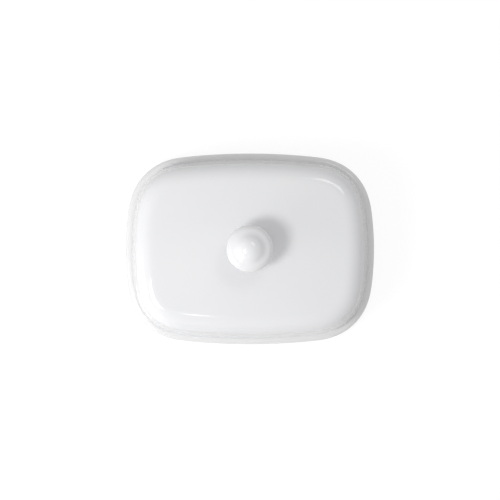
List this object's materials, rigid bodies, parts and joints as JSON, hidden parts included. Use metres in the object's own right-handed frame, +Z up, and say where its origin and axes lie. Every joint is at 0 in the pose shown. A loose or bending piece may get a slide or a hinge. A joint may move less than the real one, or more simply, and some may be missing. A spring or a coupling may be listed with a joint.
{
  "type": "butter dish",
  "caption": "Rectangular glazed porcelain butter dish: a shallow dish with a raised ridge that locates a deep lift-off lid with a round knob.",
  "frame": {"origin": "middle of the foot, on the surface that the dish stands on", "axes": "+X along the length, +Y across the width, +Z up"},
  "size_m": [0.164, 0.126, 0.0784],
  "materials": {
    "glazed_porcelain": "clear gloss glaze over white porcelain"
  },
  "bodies": {
    "dish": {"dish": "glazed_porcelain"},
    "lid": {"lid_shell": "glazed_porcelain", "knob": "glazed_porcelain"}
  },
  "joints": [
    {"name": "lid_lift", "type": "slide", "parent": "dish", "child": "lid", "axis": [0, 0, 1], "range_m": [0, 0.1]}
  ]
}
